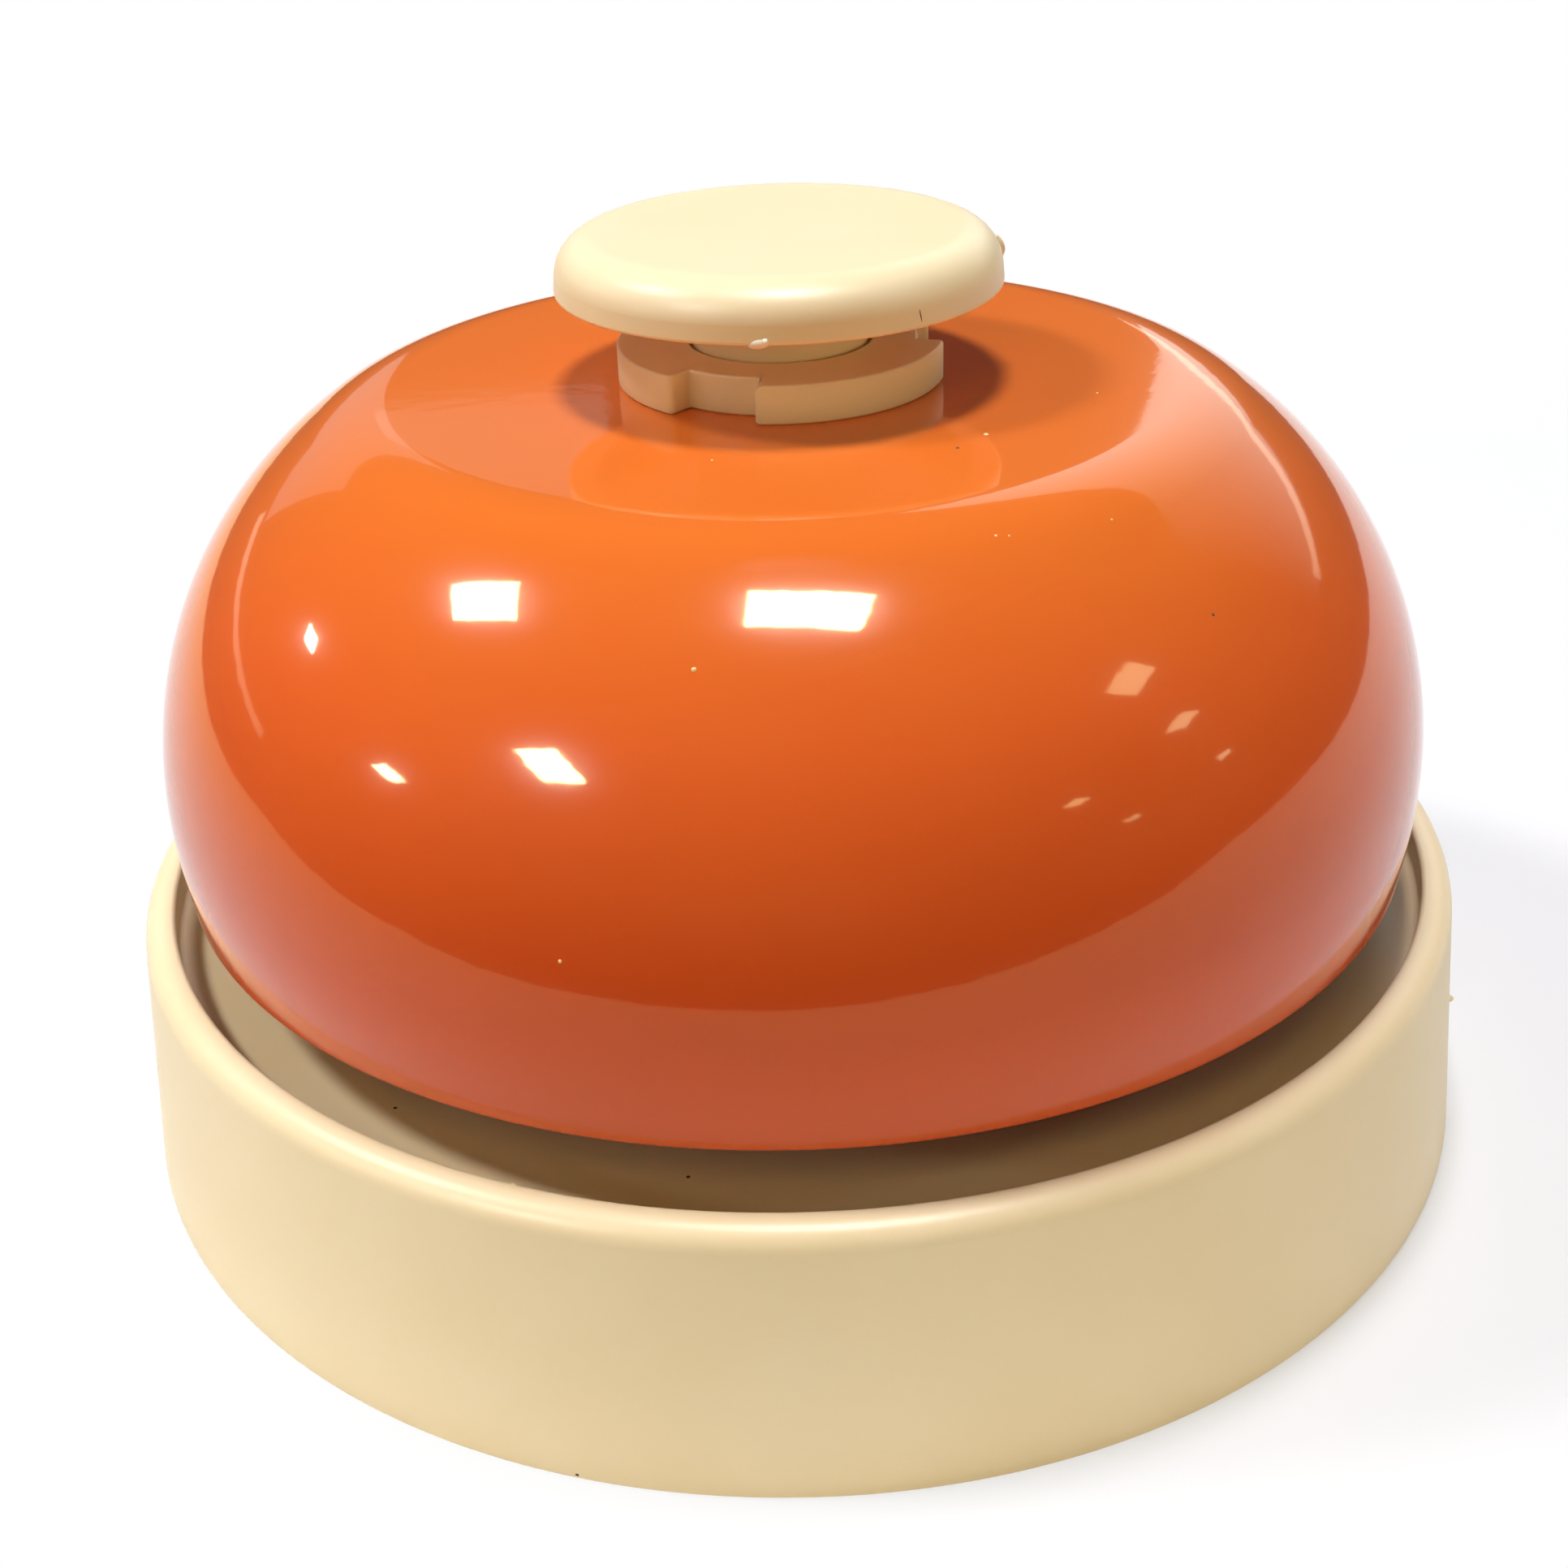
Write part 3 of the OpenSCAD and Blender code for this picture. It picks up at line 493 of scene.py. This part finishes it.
def make_marks():
    """Small marks of making and use: nibs in the enamel, dirt specks, burrs and flash on the mouldings."""
    nibs = [(-98.4, 27.58, 0.13), (-107.5, 33.52, 0.1), (-47.8, 14.27, 0.15), (-104.5, 13.44, 0.08),
            (-67.3, 23.36, 0.08), (-65.9, 23.49, 0.07), (-17.2, 16.38, 0.08), (-53.2, 23.97, 0.07)]
    make_piece("enamel_nibs", dome_lumps(nibs), NIB, "bell_body")
    specks = dome_lumps([(-56.9, 14.8, 0.12), (-48.9, 28.39, 0.1)])
    specks += [lump((turn, r, DECK_Z), 90, (0.13, 0.13, 0.04))
               for turn, r in ((-129.9, 30.78), (-100.4, 30.12))]
    specks += [lump((-107, base_wall_r(0.3), 0.3), 5, (0.13, 0.1, 0.03))]
    make_piece("dirt_specks", specks, DIRT, "bell_body")
    burrs = [lump((-112, RIM_IN_R + 0.1, BASE_H - 0.08), 135, (0.2, 0.12, 0.12)),
             lump((-16.8, base_wall_r(7.95), 7.95), 5, (0.3, 0.2, 0.23))]
    make_piece("base_burrs", burrs, ABS, "bell_body")
    gate = lump((6, 11.24, 46.6), 0, (0.3, 0.75, 0.4))
    make_piece("button_gate", [gate], ABS, "button")
    flash = [lump((-95.2, CAP_R - 0.05, CAP_Z + 0.1), -10, (0.5, 0.24, 0.12), 8),
             lump((-93.6, CAP_R - 0.05, CAP_Z + 0.22), 0, (0.22, 0.2, 0.14), -20)]
    make_piece("button_flash", flash, WHITENED, "button")
    scratch = lump((-54.5, CAP_R - 0.04, 46.2), 4, (0.35, 0.035, 0.02), 100)
    make_piece("button_scratch", [scratch], DIRT, "button")


def finish_inner_nodes():
    """Gives the solids that stay as packed the finish of what they are made of."""
    finishes = {"centre_pillar": ABS, "pillar_screws": ZINC, "crown_washer": RUBBER, "push_rod": STEEL,
                "rod_clip": WIRE, "striker_lever": NYLON, "striker_hammer": STEEL, "pivot_pin": STEEL}
    for node, material in finishes.items():
        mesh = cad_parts[node].data
        mesh.materials.clear()
        mesh.materials.append(material)


# The table's edges lie where the dome mirrors them
TABLE_OUTLINE = [(-43, -93), (-110, -66), (-216, 9), (-270, 230), (-270, 520), (480, 520), (480, -20),
                 (330, -112), (104, -111), (63, -109), (-4, -100)]
TABLE_T = 18.0
# It turns white with the distance from the fade's middle, and to mirrors warm towards the left
FADE_FROM, FADE_TO, FADE_MIDDLE, FADE_LEAST = 50.0, 115.0, (75, 15, 0), 0.35
WARM_FROM_X, WARM_TO_X = -60.0, -190.0


def painted_table_white():
    """White table paint, rolled and matt: an even, dull white.

    Far from the bell, where the lamps hardly reach, it is plain white to the camera and to mirrors. Near the
    bell it keeps most of its shadow.
    """
    material, tree, output = new_material("painted_table_white")
    paint = add(tree, "ShaderNodeBsdfPrincipled", Base_Color=linear("#e6e5e3"), Roughness=0.6)
    path = add(tree, "ShaderNodeLightPath")
    mirrored = add(tree, "ShaderNodeMath", {0: (path, "Is Glossy Ray"), 1: (path, "Is Transmission Ray")},
                   operation="MAXIMUM")
    seen = add(tree, "ShaderNodeMath", {0: (path, "Is Camera Ray"), 1: (mirrored, "Value")},
               operation="MAXIMUM")
    place = add(tree, "ShaderNodeTexCoord")
    away = add(tree, "ShaderNodeVectorMath", {0: (place, "Object")}, operation="DISTANCE")
    away.inputs[1].default_value = Vector(FADE_MIDDLE) * MM
    fade = add(tree, "ShaderNodeMapRange", {"Value": (away, "Value")}, interpolation_type="SMOOTHSTEP",
               From_Min=FADE_FROM * MM, From_Max=FADE_TO * MM, To_Min=FADE_LEAST)
    spot = add(tree, "ShaderNodeSeparateXYZ", {"Vector": (place, "Object")})
    leftward = add(tree, "ShaderNodeMapRange", {"Value": (spot, "X")},
                   From_Min=WARM_FROM_X * MM, From_Max=WARM_TO_X * MM)
    warmth = add(tree, "ShaderNodeMath", {0: (leftward, "Result"), 1: (mirrored, "Value")},
                 operation="MULTIPLY")
    tint = add(tree, "ShaderNodeValToRGB", {"Fac": (warmth, "Value")})
    plain, warm = tint.color_ramp.elements
    plain.color, warm.color = (1, 1, 1, 1), linear("#ffeec2")
    white = add(tree, "ShaderNodeEmission", {"Color": (tint, "Color")}, Strength=1.0)
    share = add(tree, "ShaderNodeMath", {0: (seen, "Value"), 1: (fade, "Result")}, operation="MULTIPLY")
    both = add(tree, "ShaderNodeMixShader",
               {"Fac": (share, "Value"), 1: (paint, "BSDF"), 2: (white, "Emission")})
    tree.links.new(both.outputs["Shader"], output.inputs["Surface"])
    return material


def make_table():
    """Table: its outline at the top and again TABLE_T below, joined by a wall of quads."""
    outline = np.array(TABLE_OUTLINE, float) * MM
    count = len(outline)
    top = np.column_stack([outline, np.zeros(count)])
    number = np.arange(count)
    following = (number + 1) % count
    walls = np.column_stack([number, number + count, following + count, following])
    mesh = bpy.data.meshes.new("table")
    mesh.from_pydata(np.vstack([top, top - [0, 0, TABLE_T * MM]]), [],
                     [number.tolist(), (2 * count - 1 - number).tolist(), *walls.tolist()])
    mesh.materials.append(painted_table_white())
    table = bpy.data.objects.new("table", mesh)
    bpy.context.scene.collection.objects.link(table)


# Lamps: level panels under the ceiling, each with its middle, size, turn, radiance, and whether it lights
# the matt surfaces and whether the gloss shows it
LAMP_Z = 600
KEY_COLOUR = "#eeefff"
CEILING_PANELS = {
    "key": ((0, 60), (110, 110), 0, 84, True, False),
    "overhead": ((25, -115), (163, 101), -7, 70, False, True),
    "left": ((-468, 37), (159, 120), -24, 56, True, True),
    "front_left": ((-672, -629), (162, 218), -6, 60, False, True),
    "far_left": ((-1443, 443), (184, 113), -1, 45, True, True),
    "low_left": ((-1966, -521), (270, 190), -8, 50, True, True),
    "right_near": ((783, -239), (147, 138), 8, 6, True, True),
    "right_next": ((1364, -368), (172, 144), 19, 6, True, True),
    "right_last": ((2794, -546), (254, 158), -3, 6, True, True),
    "right_front_near": ((1307, -1126), (132, 105), 2, 7, True, True),
    "right_front_last": ((2722, -1714), (275, 156), -20, 6, True, True),
}
# Pale walls and their edges round the room, and soft fills that the gloss doesn't show, all facing the bell:
# middle, the way across, size, radiance and colour
WALL_PANELS = {
    "right_back": ((456, 563, 396), (777, -629, 0), (804, 441), 1.55, "#d0eef4"),
    "right_back_edge": ((452, 628, 221), (829, -559, -62), (700, 26), 1.5, "#fff4e0"),
    "left_back": ((-372, 685, 263), (879, 477, 0), (403, 247), 0.5, "#d0eef4"),
    "left_back_top": ((-151, 764, 312), (981, 194, 0), (158, 50), 0.35, "#d0eef4"),
    "left_back_edge": ((-682, 414, 94), (-519, -855, -95), (540, 22), 1.2, "#fff4e0"),
}
FILL_PANELS = {
    "front_fill": ((-60, -640, 90), (1, 0, 0), (400, 160), 1.6, "#f2e8a6"),
    "front_high": ((-120, -500, 540), (1, 0, 0), (300, 200), 3.0, "#ffd98c"),
    "right_fill": ((520, -250, 80), (1, 2, 0), (350, 120), 4.2, "#fae9b4"),
    "left_fill": ((-420, -400, 240), (1, -1, 0), (350, 300), 1.3, "#fbf5de"),
}
AIM = Vector((0, 0, 30)) * MM
# The wall at the right is brightest at its far end and falls off towards the near one with this power
RIGHT_BACK_FALL = 1.7
ROOM_GREY = 0.05


def hang(name, rotation, place, size, radiance):
    """A rectangular lamp that gives the same radiance all over: power = radiance * pi * area."""
    light = bpy.data.lights.new(name, "AREA")
    light.shape = "RECTANGLE"
    light.size, light.size_y = size[0] * MM, size[1] * MM
    light.energy = radiance * np.pi * light.size * light.size_y
    lamp = bpy.data.objects.new(name, light)
    lamp.matrix_world = Matrix.Translation(Vector(place) * MM) @ rotation.to_4x4()
    lamp.visible_camera = False
    bpy.context.scene.collection.objects.link(lamp)
    return lamp


def dim_along(light, power):
    """Makes a panel brightest at one end: its strength along it, from 0 to 1, is 1 - x ** power."""
    light.use_nodes = True
    tree = light.node_tree
    spot = add(tree, "ShaderNodeNewGeometry")
    along = add(tree, "ShaderNodeSeparateXYZ", {"Vector": (spot, "Parametric")})
    fall = add(tree, "ShaderNodeMath", {0: (along, "X")}, operation="POWER")
    fall.inputs[1].default_value = power
    left_over = add(tree, "ShaderNodeMath", {1: (fall, "Value")}, operation="SUBTRACT")
    left_over.inputs[0].default_value = 1.0
    tree.links.new(left_over.outputs["Value"], tree.nodes["Emission"].inputs["Strength"])


def light_room():
    """Hangs the ceiling's panels level and turns the walls and fills to the bell, in a dark grey room."""
    for name, (middle, size, turn, radiance, lights, shows) in CEILING_PANELS.items():
        lamp = hang(name, Matrix.Rotation(np.radians(turn), 3, "Z"), (*middle, LAMP_Z), size, radiance)
        lamp.visible_diffuse, lamp.visible_glossy = lights, shows
    bpy.data.objects["key"].data.color = linear(KEY_COLOUR)[:3]
    for name, (place, across, size, radiance, colour) in (WALL_PANELS | FILL_PANELS).items():
        back = (Vector(place) * MM - AIM).normalized()
        side = Vector(across)
        side = (side - side.dot(back) * back).normalized()
        lamp = hang(name, Matrix((side, back.cross(side), back)).transposed(), place, size, radiance)
        lamp.data.color = linear(colour)[:3]
        lamp.visible_glossy = name in WALL_PANELS
    dim_along(bpy.data.objects["right_back"].data, RIGHT_BACK_FALL)
    world = bpy.data.worlds.new("grey_room")
    bpy.context.scene.world = world
    world.use_nodes = True
    background = world.node_tree.nodes["Background"]
    background.inputs["Color"].default_value = (1, 1, 1, 1)
    background.inputs["Strength"].default_value = ROOM_GREY


# Camera: where the photograph was taken from, worked out from the outlines of the base, dome and button
IMAGE, SENSOR, NEAREST = 1932, 36.0, 5.0
FOCAL_PX, MIDDLE_PX = 2678.0, (979.1, 962.4)
CAMERA_AT, PITCH, ROLL = (0, -109.2, 74.65), 27.85, 1.8


def set_camera():
    """Stands the camera at CAMERA_AT, tipped down by PITCH and rolled by ROLL, with its lens in sensor units."""
    data = bpy.data.cameras.new("camera")
    data.sensor_width = SENSOR
    data.lens = FOCAL_PX / IMAGE * SENSOR
    data.shift_x = (IMAGE / 2 - MIDDLE_PX[0]) / IMAGE
    data.shift_y = (MIDDLE_PX[1] - IMAGE / 2) / IMAGE
    data.clip_start = NEAREST * MM
    camera = bpy.data.objects.new("camera", data)
    camera.matrix_world = (Matrix.Translation(Vector(CAMERA_AT) * MM)
                           @ Matrix.Rotation(np.radians(90 - PITCH), 4, "X")
                           @ Matrix.Rotation(np.radians(-ROLL), 4, "Z"))
    bpy.context.scene.collection.objects.link(camera)
    bpy.context.scene.camera = camera
    bpy.context.scene.view_settings.view_transform = "Standard"


make_base()
make_dome()
make_collar()
make_button()
make_spring()
make_marks()
finish_inner_nodes()
make_table()
light_room()
set_camera()
